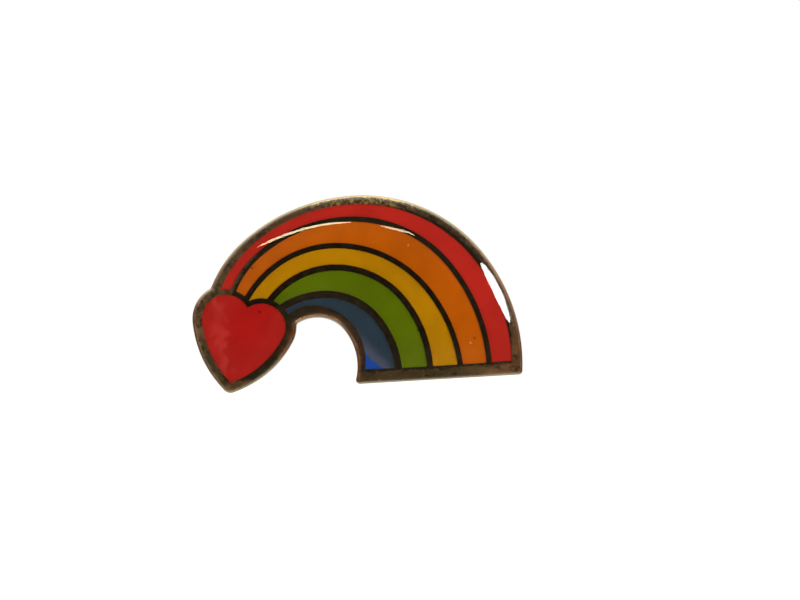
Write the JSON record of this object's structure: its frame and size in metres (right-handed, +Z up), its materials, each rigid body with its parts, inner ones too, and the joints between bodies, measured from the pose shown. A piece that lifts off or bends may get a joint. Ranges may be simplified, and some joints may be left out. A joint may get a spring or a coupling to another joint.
{
  "type": "enamel pin",
  "caption": "Rainbow and heart lapel pin: struck metal plate with enamel bands under a clear dome, and a post behind with a butterfly clutch that pinches open.",
  "frame": {"origin": "middle of the post, on the plate's back face", "axes": "+Y along the post, back into the cloth; +X towards the rainbow's free foot, as seen from the front; +Z up as worn"},
  "size_m": [0.0254, 0.0112, 0.0153],
  "materials": {
    "plated_metal": "dark gold plate, polished rim, worn",
    "red_enamel": "gloss enamel",
    "orange_enamel": "gloss enamel",
    "yellow_enamel": "gloss enamel",
    "green_enamel": "gloss enamel",
    "blue_enamel": "gloss enamel",
    "heart_enamel": "gloss enamel",
    "clear_epoxy": "clear poured resin",
    "plated_steel": "gold plated, turned",
    "solder": "dull solder",
    "clutch_brass": "pressed sheet, satin",
    "wing_brass": "spring brass, satin"
  },
  "bodies": {
    "pin": {"base_plate": "plated_metal", "red_band_enamel": "red_enamel", "orange_band_enamel": "orange_enamel", "yellow_band_enamel": "yellow_enamel", "green_band_enamel": "green_enamel", "blue_band_enamel": "blue_enamel", "heart_enamel": "heart_enamel", "epoxy_dome": "clear_epoxy", "post": "plated_steel", "solder_fillet": "solder"},
    "clutch": {"clutch_base": "clutch_brass", "clutch_cover": "clutch_brass"},
    "right_lever": {"right_wing": "wing_brass"},
    "left_lever": {"left_wing": "wing_brass"}
  },
  "joints": [
    {"name": "clutch_slide", "type": "slide", "parent": "pin", "child": "clutch", "axis": [0, 1, 0], "range_m": [-0.002, 0.009]},
    {"name": "right_wing_pinch", "type": "hinge", "parent": "clutch", "child": "right_lever", "pos_m": [0.00155, 0.00445, 0], "axis": [0, 0, 1], "range_deg": [0, 12], "stiffness_Nm_per_rad": 0.05},
    {"name": "left_wing_pinch", "type": "hinge", "parent": "clutch", "child": "left_lever", "pos_m": [-0.00155, 0.00445, 0], "axis": [0, 0, -1], "range_deg": [0, 12], "stiffness_Nm_per_rad": 0.05}
  ]
}
